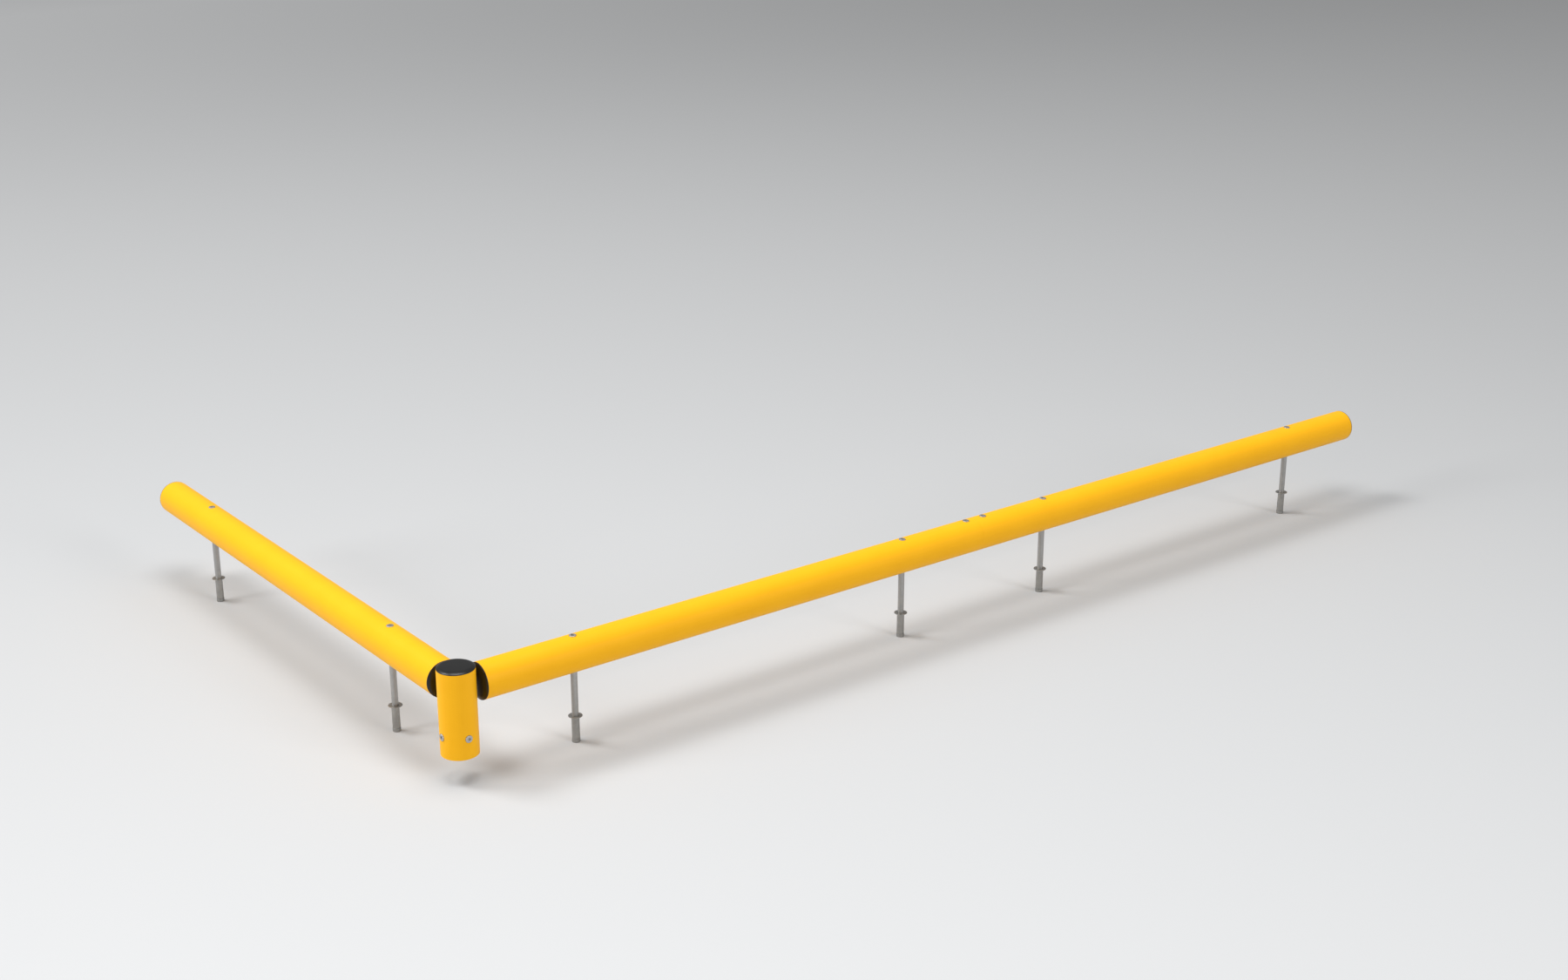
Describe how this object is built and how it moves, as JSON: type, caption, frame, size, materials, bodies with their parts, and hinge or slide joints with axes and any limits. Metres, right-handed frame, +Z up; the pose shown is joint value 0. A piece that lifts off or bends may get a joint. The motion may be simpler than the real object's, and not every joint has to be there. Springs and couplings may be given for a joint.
{
  "type": "guardrail",
  "caption": "Low corner guardrail of round plastic tube on slim steel legs with floor anchors, the arms meeting at a capped corner post, to keep trolleys off walls and cabinets.",
  "frame": {"origin": "corner post's axis at floor level, at the mouth of the floor bolt's hole in the post's foot", "axes": "+X along the long arm, +Y along the short arm, +Z up; the anchors reach below the floor at Z = 0"},
  "size_m": [3.1087, 1.6087, 0.2809],
  "materials": {
    "yellow_plastic": "satin, through-coloured extruded tube",
    "black_plastic": "satin, injection moulded",
    "leg_steel": "drawn bar, dull",
    "anchor_steel": "turned, dull zinc",
    "screw_steel": "stainless, satin",
    "galvanised_steel": "hot-dip galvanised"
  },
  "bodies": {
    "root": {"rail_left": "yellow_plastic", "rail_near": "yellow_plastic", "rail_far": "yellow_plastic", "corner_post": "yellow_plastic", "post_cap": "black_plastic", "cap_left_near": "black_plastic", "cap_left_far": "black_plastic", "cap_right_near": "black_plastic", "cap_right_far": "black_plastic", "rail_coupler": "galvanised_steel", "coupler_nuts": "galvanised_steel", "post_foot": "galvanised_steel", "foot_nuts": "galvanised_steel", "leg_screws": "screw_steel", "coupler_screws": "screw_steel", "post_screws": "screw_steel", "leg_rod_1": "leg_steel", "leg_rod_2": "leg_steel", "leg_rod_3": "leg_steel", "leg_rod_4": "leg_steel", "leg_rod_5": "leg_steel", "leg_rod_6": "leg_steel", "anchor_sleeve_1": "anchor_steel", "cone_nut_1": "anchor_steel", "anchor_sleeve_2": "anchor_steel", "cone_nut_2": "anchor_steel", "anchor_sleeve_3": "anchor_steel", "cone_nut_3": "anchor_steel", "anchor_sleeve_4": "anchor_steel", "cone_nut_4": "anchor_steel", "anchor_sleeve_5": "anchor_steel", "cone_nut_5": "anchor_steel", "anchor_sleeve_6": "anchor_steel", "cone_nut_6": "anchor_steel"}
  },
  "joints": []
}
